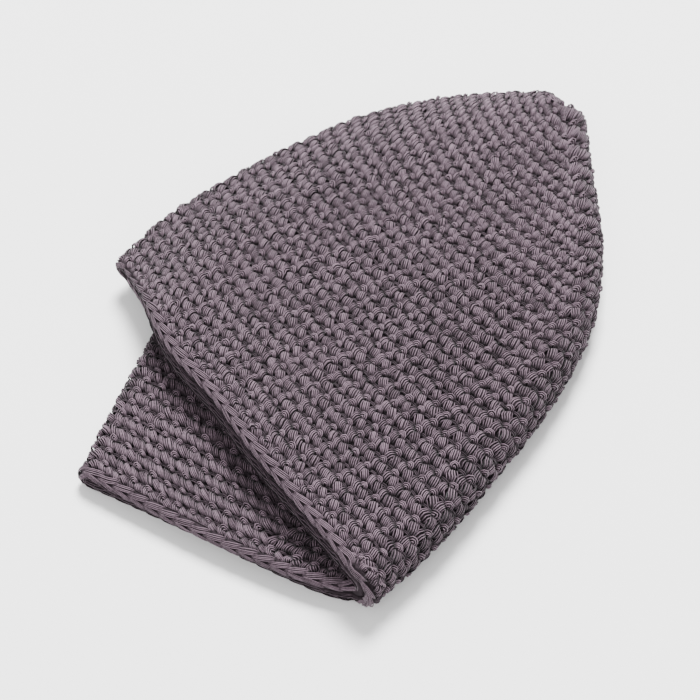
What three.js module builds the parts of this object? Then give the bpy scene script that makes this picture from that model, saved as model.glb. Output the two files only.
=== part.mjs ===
// A hand-crocheted kufi cap, laid flat and folded once lengthwise, as it is stored.
// Millimetres, +Z up. The cap lies on its lower half; +Y points from the mouth to the crown,
// and the folded side is on the right. The origin is under the middle of the cap's own box.
import * as THREE from 'three';
import { mergeVertices } from 'three/addons/utils/BufferGeometryUtils.js';

// Driving sizes
const FOLDED_LENGTH = 216;
const FOLDED_WIDTH = 166;
const WALL = 3.8;
const UPPER_HOLLOW = 6.4;
const LOWER_HOLLOW = 1.8;
const EDGE_HOLLOW = 0.8;
const FOLD_GAP = 1.0;
const MOUTH_FOLD_GAP = 2.0;
const LOWER_RIM_BOW = 3.4;
const LOWER_RIM_SETBACK = 2.4;
const OVERHANG_DROOP = 2.2;
const EDGING_THICKNESS = 3.2;
const EDGING_HEIGHT = 3.0;
const CLEARANCE = 0.3;

// Shares of the way to the crown over which the details at the mouth fade away, and shares of
// the way round over which the two halves change
const SETBACK_REACH = 0.3;
const DROOP_START = 0.78;
const DROOP_REACH = 0.1;
const LEVEL_REACH = 0.12;
const HOLLOW_FLATNESS = 2.6;

// Mesh steps along the parts of one cross section, and from the mouth to the crown
const LOWER_STEPS = 9;
const ROLL_STEPS = 7;
const UPPER_STEPS = 13;
const EDGE_STEPS = 4;
const STATIONS = 33;
const END_STEPS = 3;
const EDGING_SIDES = 8;

// Sections from the mouth to the crown. Each row gives the middle line of the folded cap's
// two layers, seen from above: where it turns at the fold, where the upper half ends, and
// where the lower half ends. Places across are shares of FOLDED_WIDTH, places along are
// shares of FOLDED_LENGTH, and the hollow columns are shares of the two hollows.
const COLUMNS = [
  'at', 'foldX', 'foldY', 'upperX', 'upperY', 'lowerX', 'lowerY', 'upperHollow', 'lowerHollow',
];
const SECTIONS = [
  [0.00, 0.484, -0.234, -0.362, -0.238, 0.006, -0.438, 0.74, 0.00],
  [0.15, 0.440, -0.098, -0.413, -0.121, -0.119, -0.316, 0.92, 0.80],
  [0.30, 0.371, 0.039, -0.433, -0.003, -0.232, -0.194, 1.00, 1.00],
  [0.45, 0.293, 0.174, -0.440, 0.116, -0.306, -0.054, 1.00, 1.00],
  [0.60, 0.188, 0.297, -0.434, 0.232, -0.343, 0.097, 0.96, 0.95],
  [0.75, 0.046, 0.389, -0.396, 0.347, -0.346, 0.251, 0.80, 0.80],
  [0.88, -0.102, 0.453, -0.338, 0.444, -0.318, 0.382, 0.50, 0.50],
  [1.00, -0.230, 0.510, -0.277, 0.506, -0.268, 0.482, 0.10, 0.10],
].map((row) => Object.fromEntries(row.map((value, i) => [COLUMNS[i], value])));

const UP = new THREE.Vector3(0, 0, 1);

// Smooth curve through one column of the section table, at a share of the way to the crown.
function column(name, share) {
  const last = SECTIONS.length - 1;
  let i = 0;
  while (i < last - 1 && share > SECTIONS[i + 1].at) i += 1;
  const slope = (k) => {
    const a = SECTIONS[Math.max(k - 1, 0)];
    const b = SECTIONS[Math.min(k + 1, last)];
    return (b[name] - a[name]) / (b.at - a.at);
  };
  const from = SECTIONS[i];
  const to = SECTIONS[i + 1];
  const span = to.at - from.at;
  const t = (share - from.at) / span;
  const t2 = t * t;
  const t3 = t2 * t;
  return (2 * t3 - 3 * t2 + 1) * from[name] + (t3 - 2 * t2 + t) * span * slope(i)
    + (3 * t2 - 2 * t3) * to[name] + (t3 - t2) * span * slope(i + 1);
}

function place(name, share) {
  const across = FOLDED_WIDTH * column(`${name}X`, share);
  const along = FOLDED_LENGTH * column(`${name}Y`, share);
  return new THREE.Vector3(across, along, 0);
}

// 0 at the fold and at the outer end of a half, 1 over the broad middle of it.
function crown(t) {
  return 1 - Math.abs(2 * t - 1) ** HOLLOW_FLATNESS;
}

function smooth(t) {
  const c = Math.min(Math.max(t, 0), 1);
  return c * c * (3 - 2 * c);
}

// Thickness of the hollow between the two layers, over the lower and the upper half.
function lowerHollow(share, t) {
  return EDGE_HOLLOW + Math.max(LOWER_HOLLOW - EDGE_HOLLOW, 0) * column('lowerHollow', share) * crown(t);
}

function upperHollow(share, t) {
  return EDGE_HOLLOW + Math.max(UPPER_HOLLOW - EDGE_HOLLOW, 0) * column('upperHollow', share) * crown(t);
}

// The slot between the lower and the upper half, wider at the mouth.
function foldGap(share) {
  return FOLD_GAP + (MOUTH_FOLD_GAP - FOLD_GAP) * (1 - share) ** 3;
}

function rollRadius(share) {
  return (2 * WALL + EDGE_HOLLOW + foldGap(share)) / 2;
}

// Direction out of the fold, level and square to it.
function foldOutward(share) {
  const step = 0.01;
  const along = place('fold', Math.min(share + step, 1)).sub(place('fold', Math.max(share - step, 0)));
  return new THREE.Vector3(along.y, -along.x, 0).normalize();
}

// The middle surface between the cap's two layers. lower runs 0 to 1 from the lower half's
// end to the fold, roll 0 to 1 up round the fold, upper 0 to 1 from there to the upper half's end.
function lowerPoint(share, t) {
  const fold = place('fold', share);
  const end = place('lower', share);
  const leg = end.clone().sub(fold);
  const across = new THREE.Vector3(-leg.y, leg.x, 0).normalize();
  const bow = LOWER_RIM_BOW * (1 - share) ** 2 * Math.sin(Math.PI * Math.sqrt(t));
  const p = fold.addScaledVector(leg, t).addScaledVector(across, bow);
  p.z = WALL + lowerHollow(share, t) / 2;
  return p;
}

function rollPoint(share, t) {
  const angle = Math.PI * t;
  const p = place('fold', share).addScaledVector(foldOutward(share), rollRadius(share) * Math.sin(angle));
  p.z = WALL + EDGE_HOLLOW / 2 + rollRadius(share) * (1 - Math.cos(angle));
  return p;
}

function upperPoint(share, t) {
  const p = place('fold', share).lerp(place('upper', share), t);
  const fade = smooth((t - DROOP_START) / (1 - DROOP_START)) * smooth((1 - share) / DROOP_REACH);
  const droop = OVERHANG_DROOP * (1 + (1 - share) ** 3) * fade;
  const under = 2 * WALL + lowerHollow(share, t) + foldGap(share) - droop;
  p.z = under + WALL + upperHollow(share, t) / 2;
  return p;
}

// Direction from the mouth to the crown on one part of the middle surface.
function towardsCrown(point, share, t) {
  const step = 0.004;
  return point(Math.min(share + step, 1), t).sub(point(Math.max(share - step, 0), t)).normalize();
}

// Direction down from the lower half's middle surface. Near the mouth it leans towards the crown,
// so that the layer underneath ends a little behind the one on top of it.
function lowerNormal(share, t) {
  const lean = LOWER_RIM_SETBACK / (WALL + EDGE_HOLLOW)
    * Math.sin(Math.PI * t) * smooth(1 - share / SETBACK_REACH);
  return UP.clone().negate().addScaledVector(towardsCrown(lowerPoint, share, t), lean).normalize();
}

// Direction up from the upper half's middle surface.
function upperNormal(share, t) {
  const step = 0.01;
  const acrossIt = upperPoint(share, Math.min(t + step, 1)).sub(upperPoint(share, Math.max(t - step, 0)));
  const n = acrossIt.cross(towardsCrown(upperPoint, share, t)).normalize();
  if (n.z < 0) n.negate();
  return UP.clone().lerp(n, smooth(t / LEVEL_REACH)).normalize();
}

// One section of the middle surface: points, the direction towards the cap's outer face there,
// the hollow, and the direction from the mouth to the crown, square to the outer one.
function section(share) {
  const rows = [];
  const add = (point, t, outer, hollow) => {
    const along = towardsCrown(point, share, t);
    along.addScaledVector(outer, -along.dot(outer)).normalize();
    rows.push({ at: point(share, t), outer, hollow, along });
  };
  for (let i = 0; i < LOWER_STEPS; i += 1) {
    const t = 1 - i / LOWER_STEPS;
    add(lowerPoint, t, lowerNormal(share, t), lowerHollow(share, t));
  }
  for (let i = 0; i < ROLL_STEPS; i += 1) {
    const t = i / ROLL_STEPS;
    const angle = Math.PI * t;
    const outer = foldOutward(share).multiplyScalar(Math.sin(angle)).addScaledVector(UP, -Math.cos(angle));
    add(rollPoint, t, outer, EDGE_HOLLOW);
  }
  for (let i = 0; i <= UPPER_STEPS; i += 1) {
    const t = i / UPPER_STEPS;
    add(upperPoint, t, upperNormal(share, t), upperHollow(share, t));
  }
  return rows;
}

// The closed loop at one distance from the middle surface. offset gives that distance from the
// hollow's thickness; end turns the loop towards the crown, to round off the closed end.
function loop(share, offset, end = 0) {
  const rows = section(share);
  const points = [];
  const put = (row, way) => {
    const d = way.clone().multiplyScalar(Math.cos(end)).addScaledVector(row.along, Math.sin(end));
    const at = row.at.clone().addScaledVector(d, offset(row.hollow));
    points.push({ at, way, along: row.along });
  };
  const round = (row, inward, sign) => {
    const away = row.at.clone().sub(inward.at);
    away.addScaledVector(row.along, -away.dot(row.along));
    away.addScaledVector(row.outer, -away.dot(row.outer)).normalize();
    for (let i = 1; i < EDGE_STEPS; i += 1) {
      const angle = Math.PI * i / EDGE_STEPS;
      const way = row.outer.clone().multiplyScalar(sign * Math.cos(angle));
      put(row, way.addScaledVector(away, Math.sin(angle)));
    }
  };
  const last = rows.length - 1;
  rows.forEach((row) => put(row, row.outer.clone()));
  round(rows[last], rows[last - 1], 1);
  for (let i = last; i >= 0; i -= 1) put(rows[i], rows[i].outer.clone().negate());
  round(rows[0], rows[1], -1);
  return points;
}

// Triangles of a closed mesh from rings of equal length. Rings that shrink to a line or a
// point close the mesh there; the triangles that vanish are left out.
function closedMesh(rings, joinEnds) {
  const count = rings[0].length;
  const positions = [];
  const corner = (p) => positions.push(p.x, p.y, p.z);
  const tri = (a, b, c) => {
    const area = b.clone().sub(a).cross(c.clone().sub(a)).length();
    if (area > 1e-7) [a, b, c].forEach(corner);
  };
  const links = joinEnds ? rings.length : rings.length - 1;
  for (let r = 0; r < links; r += 1) {
    const here = rings[r];
    const next = rings[(r + 1) % rings.length];
    for (let i = 0; i < count; i += 1) {
      const j = (i + 1) % count;
      tri(here[i], here[j], next[j]);
      tri(here[i], next[j], next[i]);
    }
  }
  const loose = new THREE.BufferGeometry();
  loose.setAttribute('position', new THREE.Float32BufferAttribute(positions, 3));
  const solid = mergeVertices(loose, 1e-4);
  if (volume(solid) < 0) turn(solid);
  return solid;
}

function volume(geometry) {
  const { position } = geometry.attributes;
  const { array } = geometry.index;
  const a = new THREE.Vector3();
  const b = new THREE.Vector3();
  const c = new THREE.Vector3();
  let sum = 0;
  for (let i = 0; i < array.length; i += 3) {
    a.fromBufferAttribute(position, array[i]);
    b.fromBufferAttribute(position, array[i + 1]);
    c.fromBufferAttribute(position, array[i + 2]);
    sum += a.dot(b.cross(c)) / 6;
  }
  return sum;
}

function turn(geometry) {
  const { array } = geometry.index;
  for (let i = 0; i < array.length; i += 3) {
    [array[i + 1], array[i + 2]] = [array[i + 2], array[i + 1]];
  }
}

// How far along the wall starts, so that it clears the edging everywhere.
function shareBehindEdging() {
  const step = 0.01;
  const rim = section(0);
  const next = section(step);
  const shortest = Math.min(...rim.map((row, i) => row.at.distanceTo(next[i].at)));
  return step * (EDGING_HEIGHT / 2 + CLEARANCE) / shortest;
}

// The crocheted wall: crown and sides in one piece, a folded bag that is open at the mouth.
function capWall() {
  const outer = (hollow) => WALL + hollow / 2;
  const inner = (hollow) => hollow / 2;
  const mouth = shareBehindEdging();
  const shares = Array.from({ length: STATIONS + 1 }, (_, i) => mouth + (1 - mouth) * i / STATIONS);
  const ends = Array.from({ length: END_STEPS }, (_, i) => Math.PI / 2 * (i + 1) / END_STEPS);
  const ring = (points) => points.map((p) => p.at);
  const outside = [...shares.map((s) => ring(loop(s, outer))), ...ends.map((e) => ring(loop(1, outer, e)))];
  const inside = [...shares.map((s) => ring(loop(s, inner))), ring(loop(1, inner, Math.PI / 2))];
  return closedMesh([...inside.reverse(), ...outside], false);
}

// The edging: one round of slip stitches along the mouth, as a plain rounded cord.
function mouthEdging() {
  const path = loop(0, (hollow) => (WALL + hollow) / 2);
  const rings = path.map(({ at, way, along }) => Array.from({ length: EDGING_SIDES }, (_, i) => {
    const angle = 2 * Math.PI * (i + 0.5) / EDGING_SIDES;
    const side = way.clone().multiplyScalar(EDGING_THICKNESS / 2 * Math.cos(angle));
    return at.clone().add(side).addScaledVector(along, EDGING_HEIGHT / 2 * Math.sin(angle));
  }));
  return closedMesh(rings, true);
}

function cotton(colour) {
  return new THREE.MeshStandardMaterial({ color: colour, roughness: 0.92, metalness: 0 });
}

function piece(name, geometry, colour) {
  const mesh = new THREE.Mesh(geometry, cotton(colour));
  mesh.name = name;
  return mesh;
}

const group = new THREE.Group();
group.add(piece('crown_and_sides', capWall(), 0x6d5f66));
group.add(piece('mouth_edging', mouthEdging(), 0x74666d));

const box = new THREE.Box3().setFromObject(group);
const middle = box.getCenter(new THREE.Vector3());
group.position.set(-middle.x, -middle.y, -box.min.z);
group.updateMatrixWorld(true);

export default group;
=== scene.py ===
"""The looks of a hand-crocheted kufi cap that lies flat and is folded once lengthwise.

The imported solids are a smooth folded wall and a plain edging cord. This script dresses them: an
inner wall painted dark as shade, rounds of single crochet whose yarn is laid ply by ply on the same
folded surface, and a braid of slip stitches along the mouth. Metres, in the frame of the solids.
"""
import math

import bmesh
import bpy
import numpy as np
from mathutils import Matrix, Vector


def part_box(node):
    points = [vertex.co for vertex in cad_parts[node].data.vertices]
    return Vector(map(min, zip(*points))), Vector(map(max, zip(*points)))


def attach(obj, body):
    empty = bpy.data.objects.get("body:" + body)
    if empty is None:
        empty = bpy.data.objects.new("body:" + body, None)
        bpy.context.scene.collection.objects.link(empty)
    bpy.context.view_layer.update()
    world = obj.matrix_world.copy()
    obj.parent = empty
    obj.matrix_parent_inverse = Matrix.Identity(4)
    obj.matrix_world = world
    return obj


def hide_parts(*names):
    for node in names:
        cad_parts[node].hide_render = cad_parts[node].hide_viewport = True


bl_info = {
    "name": "Folded crochet cap",
    "version": (1, 0, 0),
    "blender": (4, 5, 0),
    "location": "3D View > Sidebar > Cap",
    "description": "Dresses a folded cap in rounds of crochet and lights it on a pale floor",
    "category": "Object",
}

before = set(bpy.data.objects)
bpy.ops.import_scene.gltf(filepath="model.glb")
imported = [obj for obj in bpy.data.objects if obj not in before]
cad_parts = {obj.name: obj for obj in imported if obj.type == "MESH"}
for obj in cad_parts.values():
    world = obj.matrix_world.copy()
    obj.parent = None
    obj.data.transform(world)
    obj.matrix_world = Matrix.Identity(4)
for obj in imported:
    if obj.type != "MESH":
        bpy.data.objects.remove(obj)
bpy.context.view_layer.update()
WALL_NODE = "crown_and_sides"
EDGING_NODE = "mouth_edging"

# The folded form, as in the solids' source: the middle surface between the cap's two layers, by
# sections from the mouth to the crown. Places across are shares of the folded width, places along
# are shares of the folded length, and the hollow columns are shares of the two hollows.
SECTION_NAMES = (
    "at", "fold_x", "fold_y", "upper_x", "upper_y", "lower_x", "lower_y", "upper_hollow", "lower_hollow",
)
SECTION_ROWS = np.array([
    (0.00, 0.484, -0.234, -0.362, -0.238, 0.006, -0.438, 0.74, 0.00),
    (0.15, 0.440, -0.098, -0.413, -0.121, -0.119, -0.316, 0.92, 0.80),
    (0.30, 0.371, 0.039, -0.433, -0.003, -0.232, -0.194, 1.00, 1.00),
    (0.45, 0.293, 0.174, -0.440, 0.116, -0.306, -0.054, 1.00, 1.00),
    (0.60, 0.188, 0.297, -0.434, 0.232, -0.343, 0.097, 0.96, 0.95),
    (0.75, 0.046, 0.389, -0.396, 0.347, -0.346, 0.251, 0.80, 0.80),
    (0.88, -0.102, 0.453, -0.338, 0.444, -0.318, 0.382, 0.50, 0.50),
    (1.00, -0.230, 0.510, -0.277, 0.506, -0.268, 0.482, 0.10, 0.10),
])
SECTIONS = dict(zip(SECTION_NAMES, SECTION_ROWS.T))

# Shares of the way to the crown over which the details at the mouth fade away, and shares of the
# way round over which the two halves change.
SETBACK_REACH = 0.3
DROOP_START = 0.78
DROOP_REACH = 0.1
LEVEL_REACH = 0.12
HOLLOW_FLATNESS = 2.6

# How a round's first stitch moves on from the last round's, in stitches, and from which round on
# the drift bends.
SPIRAL_DRIFT = 0.32
SPIRAL_BEND = 0.018
BEND_ROUND = 15

# Stitches narrow by a share from one round on, over a few rounds, and end short of the crown's end.
NARROWING = 0.16
NARROW_FROM = 14
NARROW_ROUNDS = 8
END_MARGIN = 0.95

# One stitch, crown side up. Each knot is a place across as a share of the stitch's width, a place
# up as a share of the round's height, a height over the inner wall as a share of the relief, and
# half the yarn's width as a share of the stitch's width.
LEFT_LEG = np.array([
    (-0.16, 0.84, -0.10, 0.17),
    (-0.23, 0.70, 0.72, 0.22),
    (-0.27, 0.44, 1.00, 0.24),
    (-0.24, 0.18, 0.72, 0.23),
    (-0.18, -0.02, -0.15, 0.18),
])
RIGHT_LEG = np.array([
    (0.08, 0.84, -0.10, 0.17),
    (0.15, 0.71, 0.76, 0.22),
    (0.24, 0.47, 1.04, 0.25),
    (0.34, 0.21, 0.76, 0.24),
    (0.40, -0.02, -0.15, 0.18),
])
KNUCKLE = np.array([
    (-0.19, 0.72, -0.10, 0.090),
    (-0.18, 0.87, 0.80, 0.110),
    (-0.03, 0.99, 1.14, 0.115),
    (0.13, 0.91, 0.92, 0.105),
    (0.18, 0.73, -0.10, 0.085),
])
LINK = np.array([
    (0.16, 0.84, 0.10, 0.030),
    (0.32, 0.93, 0.40, 0.045),
    (0.52, 0.96, 0.50, 0.050),
    (0.72, 0.92, 0.40, 0.045),
    (0.86, 0.82, 0.10, 0.030),
])
LINK_STEPS = 5

# The courses of a stitch: knots, name of the number of plies, twist of the plies, how far the
# outer plies sink, and the spread of the turns in radians.
COURSES = (
    (LEFT_LEG, "leg", 0.45, 0.26, 0.11),
    (RIGHT_LEG, "shoulder", 0.45, 0.26, 0.11),
    (KNUCKLE, "knuckle", 0.3, 0.10, 0.30),
    (LINK, "link", 0.3, 0.15, 0.08),
)
FINE = {
    "leg": 5, "shoulder": 5, "knuckle": 3, "link": 2, "steps": 7, "sides": 4, "thick": 1.15, "core": True,
}
PLAIN = {
    "leg": 2, "shoulder": 2, "knuckle": 1, "link": 1, "steps": 5, "sides": 4, "thick": 2.2, "core": False,
}

# Spreads of what varies: knots as shares of a stitch, plies across a bundle, heights as shares of
# the relief, lightness and thickness.
KNOT_SPREAD = 0.025
PLY_SPREAD = 0.06
HEIGHT_SPREAD = 0.03
SHADE_SPREAD = 0.15
SIZE_SPREAD = 0.10

# The cord inside a leg, painted dark as the shade between its plies: its half width as a share of the
# leg's, how many plies' radii it lies lower, and its lightness. The row at the mouth keeps a share of
# its height.
CORE_WIDTH = 0.75
CORE_SINK = 0.2
CORE_SHADE = 0.22
LAST_ROW_SQUEEZE = 0.66

# The loops at the crown's end: their number, the first and last turn over the end as shares of a
# quarter circle, how far they lie below the stitches' tops as a share of the relief, how far they
# sway, half their thickness in plies' radii, and their lightness.
CROWN_LOOPS = 10
LOOP_TURNS = (-0.10, 0.98)
LOOP_DROP = 0.55
LOOP_SWAY = 0.00012
LOOP_THICKNESS = 1.6
LOOP_SHADE = 0.75

# The round and the number of the stitches that wrap the fold's corner at the mouth, and how far
# the edging is lifted there, as a share of half its thickness.
CORNER_ROUND = -1.32
CORNER_STITCHES = 6
CORNER_LIFT = 0.34

# How far, in metres, the stitches that show reach past the surface's marks, where the slot without
# stitches starts and ends, and the last round at the mouth that has stitches in the slot.
TOP_PAST = 0.004
FRONT_BEFORE = 0.012
FRONT_PAST = 0.003
RIM_PAST = 0.008
SLOT_START = 0.008
SLOT_END = 0.012
SLOT_ROUND = 3

# The inner wall's depth under the stitches' tops as a share of the relief, and its start behind
# the mouth as a share of the edging's thickness. The edging's core stays a little off the floor.
WALL_DROP = 1.05
WALL_START = 0.35
FLOOR_GAP = 0.00002

# One slip stitch of the edging, seen square to the braid. Knots as for a stitch, with places along
# the mouth as shares of the stitch's width and places across as shares of the edging's thickness.
EDGING_ROUND = -0.86
OUTER_ARM = np.array([
    (-0.25, 0.12, 0.05, 0.10),
    (0.20, 0.22, 0.70, 0.17),
    (0.70, 0.35, 1.00, 0.20),
    (1.18, 0.43, 0.95, 0.19),
    (1.48, 0.45, 0.10, 0.12),
])
CROWN_ARM = np.array([
    (-0.28, -0.04, 0.00, 0.12),
    (0.12, 0.05, 0.70, 0.22),
    (0.64, 0.23, 1.12, 0.29),
    (1.12, 0.40, 1.06, 0.27),
    (1.42, 0.45, 0.20, 0.14),
])

# The braid: half a bundle's width as a share of the edging's thickness, and as shares of half that
# thickness its reach across, its least height, what a knot's height adds, and the base under both.
# Then the half thickness of a strand in plies' radii.
BRAID_BUNDLE = 0.80
BRAID_REACH = 1.55
BRAID_LOW = 0.32
BRAID_HIGH = 0.62
BRAID_BASE = 0.10
BRAID_PLY = 0.88

RIM_STRANDS = 14
RIM_STEPS = 300
RIM_TURNS = (0.50, 1.55)
RIM_REACH = 1.08
RIM_PLY = 1.2
# Painted shade: the strands round the rim's face, under the braid, are this dark.
RIM_SHADE = 0.42
CORE_SIDES = 10
CORE_SHARE = 0.96

# Where the top of a ply lies on its UV map, as a share of the way round.
PLY_TOP = 0.125

CAMERA_AZIMUTH = math.radians(58)
CAMERA_ELEVATION = math.radians(53)
CAMERA_DISTANCE = 0.750
CAMERA_LENS = 118.3
FLOOR_HALF = 3.0
WORLD_LIGHT = 0.95
# Name, place, side and power of each lamp.
LAMPS = (
    ("key", (-1.32, 1.05, 2.50), 1.1, 345.0),
    ("fill", (0.9, -1.0, 1.1), 1.4, 16.0),
)

UP = np.array([0.0, 0.0, 1.0])


def size_property(name, description, default):
    """A length in metres, as a property."""
    return bpy.props.FloatProperty(name=name, description=description, default=default, min=0.0,
                                   precision=5, subtype="DISTANCE", unit="LENGTH")


def colour_property(name, description, default):
    """A linear colour, as a property."""
    return bpy.props.FloatVectorProperty(name=name, description=description, default=default, size=3,
                                         min=0.0, max=1.0, subtype="COLOR")


class CapSizes(bpy.types.PropertyGroup):
    """Sizes of the folded cap and of its stitches"""

    folded_length: size_property("Folded length", "From the mouth's lower corner to the crown", 0.216)
    folded_width: size_property("Folded width", "Across the folded cap", 0.166)
    wall: size_property("Wall", "Thickness of one layer of crochet", 0.0038)
    upper_hollow: size_property("Upper hollow", "Gap between the layers of the upper half", 0.0064)
    lower_hollow: size_property("Lower hollow", "Gap between the layers of the lower half", 0.0018)
    edge_hollow: size_property("Edge hollow", "Gap between the layers where they turn", 0.0008)
    fold_gap: size_property("Fold gap", "Slot between the two halves", 0.001)
    mouth_fold_gap: size_property("Fold gap at the mouth", "The same slot at the mouth", 0.002)
    lower_rim_bow: size_property("Lower rim bow", "How far the lower half's edge bows out", 0.0034)
    lower_rim_setback: size_property("Lower rim setback", "How far the lowest layer ends behind", 0.0024)
    overhang_droop: size_property("Overhang droop", "How far the upper half's free side sinks", 0.0022)
    edging: size_property("Edging", "Thickness of the edging cord", 0.0032)
    stitch_width: size_property("Stitch width", "Width of one single crochet stitch", 0.0056)
    round_height: size_property("Round height", "Height of one round of stitches", 0.00505)
    relief: size_property("Relief", "How far the stitches stand above the inner wall", 0.0015)
    ply: size_property("Ply radius", "Radius of one ply of the yarn", 0.00024)


class CapColours(bpy.types.PropertyGroup):
    """Colours of the yarn and of the floor"""

    yarn: colour_property("Yarn", "Open side of a ply", (0.160, 0.112, 0.142))
    yarn_shade: colour_property("Yarn shade", "Between the plies and deep in a stitch", (0.008, 0.005, 0.007))
    floor: colour_property("Floor", "The surface that the cap lies on", (0.93, 0.93, 0.93))


def column(name, share):
    """One column of the sections at a share of the way to the crown: a cubic Hermite curve."""
    at = SECTIONS["at"]
    value = SECTIONS[name]
    ahead = np.append(np.arange(1, len(at)), len(at) - 1)
    behind = np.append(0, np.arange(len(at) - 1))
    slope = (value[ahead] - value[behind]) / (at[ahead] - at[behind])
    i = np.clip(np.searchsorted(at, share, side="left") - 1, 0, len(at) - 2)
    span = at[i + 1] - at[i]
    t = (share - at[i]) / span
    return ((2 * t**3 - 3 * t**2 + 1) * value[i] + (t**3 - 2 * t**2 + t) * span * slope[i]
            + (3 * t**2 - 2 * t**3) * value[i + 1] + (t**3 - t**2) * span * slope[i + 1])


def smooth(t):
    """0 below 0, 1 above 1, and 3t^2 - 2t^3 between them."""
    c = np.clip(t, 0.0, 1.0)
    return c * c * (3 - 2 * c)


def unit(v):
    """Vectors scaled to length 1."""
    return v / np.maximum(np.linalg.norm(v, axis=-1, keepdims=True), 1e-12)


class Fold:
    """The middle surface between the cap's two layers, as functions of two arrays.

    share runs from 0 at the mouth to 1 at the crown, and t along one of three parts of a cross
    section: the lower half, the roll round the fold, and the upper half.
    """

    def __init__(self, sizes):
        self.sizes = sizes

    def place(self, name, share):
        """A column pair as a level point: width and length times their shares."""
        x = self.sizes.folded_width * column(name + "_x", share)
        y = self.sizes.folded_length * column(name + "_y", share)
        return np.stack([x, y, np.zeros_like(x)], axis=-1)

    def hollow(self, half, share, t):
        """Gap between the layers: the edge gap plus a crown that is flat in the middle."""
        full = {"lower": self.sizes.lower_hollow, "upper": self.sizes.upper_hollow}[half]
        crown = 1 - np.abs(2 * t - 1) ** HOLLOW_FLATNESS
        return (self.sizes.edge_hollow
                + (full - self.sizes.edge_hollow) * column(half + "_hollow", share) * crown)

    def slot(self, share):
        """Gap between the two halves, wider at the mouth by a cubic."""
        return self.sizes.fold_gap + (self.sizes.mouth_fold_gap - self.sizes.fold_gap) * (1 - share) ** 3

    def roll_radius(self, share):
        """Half of what the roll goes round: two walls, the edge gap and the slot."""
        return (2 * self.sizes.wall + self.sizes.edge_hollow + self.slot(share)) / 2

    def out_of_fold(self, share):
        """Level direction square to the fold line."""
        step = 0.01
        after = self.place("fold", np.minimum(share + step, 1))
        before = self.place("fold", np.maximum(share - step, 0))
        along = after - before
        return unit(np.stack([along[..., 1], -along[..., 0], np.zeros_like(share)], axis=-1))

    def lower(self, share, t):
        """Straight from the fold to the lower half's end, bowed out at the mouth."""
        fold = self.place("fold", share)
        leg = self.place("lower", share) - fold
        across = unit(np.stack([-leg[..., 1], leg[..., 0], np.zeros_like(share)], axis=-1))
        bow = self.sizes.lower_rim_bow * (1 - share) ** 2 * np.sin(np.pi * np.sqrt(t))
        p = fold + leg * t[..., None] + across * bow[..., None]
        return p + UP * (self.sizes.wall + self.hollow("lower", share, t) / 2)[..., None]

    def roll(self, share, t):
        """Half a circle, out of the fold and up."""
        radius = self.roll_radius(share)
        out = self.out_of_fold(share) * (radius * np.sin(np.pi * t))[..., None]
        height = self.sizes.wall + self.sizes.edge_hollow / 2 + radius * (1 - np.cos(np.pi * t))
        return self.place("fold", share) + out + UP * height[..., None]

    def upper(self, share, t):
        """Straight from the fold to the upper half's end, resting on the lower half and drooping."""
        p = self.place("fold", share) * (1 - t)[..., None] + self.place("upper", share) * t[..., None]
        fade = smooth((t - DROOP_START) / (1 - DROOP_START)) * smooth((1 - share) / DROOP_REACH)
        droop = self.sizes.overhang_droop * (1 + (1 - share) ** 3) * fade
        under = 2 * self.sizes.wall + self.hollow("lower", share, t) + self.slot(share) - droop
        return p + UP * (under + self.sizes.wall + self.hollow("upper", share, t) / 2)[..., None]

    def to_crown(self, part, share, t):
        """Direction from the mouth to the crown on one part."""
        step = 0.004
        return unit(part(np.minimum(share + step, 1), t) - part(np.maximum(share - step, 0), t))

    def lower_outer(self, share, t):
        """Down, leaning to the crown near the mouth."""
        lean = (self.sizes.lower_rim_setback / (self.sizes.wall + self.sizes.edge_hollow)
                * np.sin(np.pi * t) * smooth(1 - share / SETBACK_REACH))
        return unit(self.to_crown(self.lower, share, t) * lean[..., None] - UP)

    def roll_outer(self, share, t):
        """Round from down, over out of the fold, to up."""
        out = self.out_of_fold(share) * np.sin(np.pi * t)[..., None]
        return out - UP * np.cos(np.pi * t)[..., None]

    def upper_outer(self, share, t):
        """Square to the upper half, and plainly up next to the roll."""
        step = 0.01
        across = self.upper(share, np.minimum(t + step, 1)) - self.upper(share, np.maximum(t - step, 0))
        n = unit(np.cross(across, self.to_crown(self.upper, share, t)))
        n = n * np.where(n[..., 2:] < 0, -1.0, 1.0)
        weight = smooth(t / LEVEL_REACH)[..., None]
        return unit(UP * (1 - weight) + n * weight)

    def section(self, share, steps):
        """Middle points, outer directions, hollows and crown directions, as [share, step] arrays."""
        low, roll, up = steps
        parts = (
            (self.lower, self.lower_outer, np.linspace(1, 0, low, endpoint=False), "lower"),
            (self.roll, self.roll_outer, np.linspace(0, 1, roll, endpoint=False), None),
            (self.upper, self.upper_outer, np.linspace(0, 1, up + 1), "upper"),
        )
        found = []
        for part, outer, t, half in parts:
            s, t = np.meshgrid(share, t, indexing="ij")
            gap = self.hollow(half, s, t) if half else np.full_like(s, self.sizes.edge_hollow)
            way = outer(s, t)
            along = self.to_crown(part, s, t)
            along = unit(along - way * np.sum(along * way, axis=-1, keepdims=True))
            found.append((part(s, t), way, gap, along))
        return [np.concatenate([f[k] for f in found], axis=1) for k in range(4)]


def end_turns(count):
    """Even turns up to a quarter circle, for the rings that round off the crown's end."""
    return np.pi / 2 * np.arange(1, count + 1) / count


def round_end(points, way, along, row, inward, steps, sign):
    """Directions round one end of a section: half a circle from one face to the other."""
    away = points[:, row] - points[:, inward]
    away = away - along[:, row] * np.sum(away * along[:, row], axis=-1, keepdims=True)
    away = unit(away - way[:, row] * np.sum(away * way[:, row], axis=-1, keepdims=True))
    angle = (np.pi * np.arange(1, steps) / steps)[None, :, None]
    return sign * way[:, row, None] * np.cos(angle) + away[:, None] * np.sin(angle)


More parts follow.
